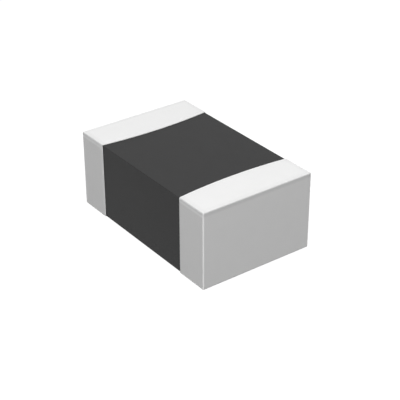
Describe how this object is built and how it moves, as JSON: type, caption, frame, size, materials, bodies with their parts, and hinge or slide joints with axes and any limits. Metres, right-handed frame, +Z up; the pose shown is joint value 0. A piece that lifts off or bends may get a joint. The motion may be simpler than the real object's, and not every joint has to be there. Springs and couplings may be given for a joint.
{
  "type": "ptc thermistor",
  "caption": "Surface-mount chip PTC thermistor: a dark ceramic block with a wrap-around tinned metal terminal on each end.",
  "frame": {"origin": "centre of the footprint, on the plane of the board that the chip is soldered to", "axes": "+X along the chip from the left terminal to the right one, +Y across it, +Z up from the board"},
  "size_m": [0.002, 0.0012, 0.0008],
  "materials": {
    "ceramic": "dull dark grey fired barium titanate, unglazed, fine-grained",
    "fired_silver": "fired silver paste, matte, hidden under the plating",
    "plated_nickel": "electroplated nickel, satin, hidden under the tin",
    "matte_tin": "matte electroplated tin, pale grey, very fine-grained"
  },
  "bodies": {
    "root": {"ceramic_body": "ceramic", "silver_contact_left": "fired_silver", "silver_contact_right": "fired_silver", "nickel_barrier_left": "plated_nickel", "nickel_barrier_right": "plated_nickel", "tin_terminal_left": "matte_tin", "tin_terminal_right": "matte_tin"}
  },
  "joints": []
}
